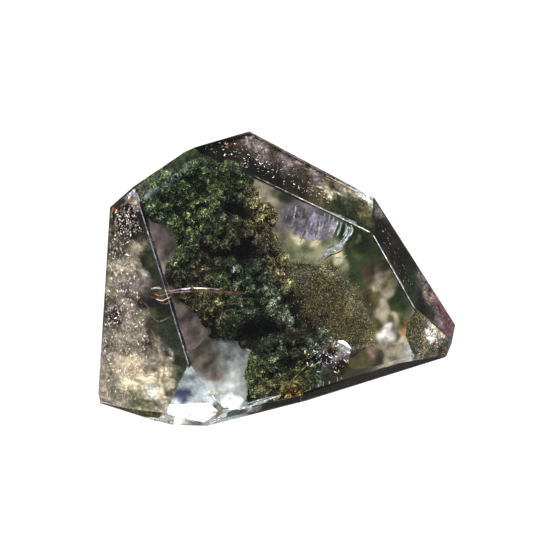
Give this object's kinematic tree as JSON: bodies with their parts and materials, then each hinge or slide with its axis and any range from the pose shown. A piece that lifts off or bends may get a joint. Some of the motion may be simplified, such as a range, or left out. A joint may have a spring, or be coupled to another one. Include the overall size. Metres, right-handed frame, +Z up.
{
  "type": "chlorite quartz crystal",
  "caption": "Stubby clear quartz crystal with polished and natural faces and a green chlorite moss inclusion, standing on a flat sawn base.",
  "frame": {"origin": "on the plane of the sawn base, at the middle of the crystal's bounding box", "axes": "+Z up out of the base; the large polished face looks towards -Y, and the crystal is longest along X"},
  "size_m": [0.0478, 0.031, 0.0341],
  "materials": {
    "quartz": "clear quartz, polished on the front and lightly frosted on its natural faces",
    "chlorite": "matt, mossy dark green mineral grains"
  },
  "bodies": {
    "root": {"quartz_lower": "quartz", "quartz_upper": "quartz", "chlorite_moss": "chlorite"}
  },
  "joints": []
}
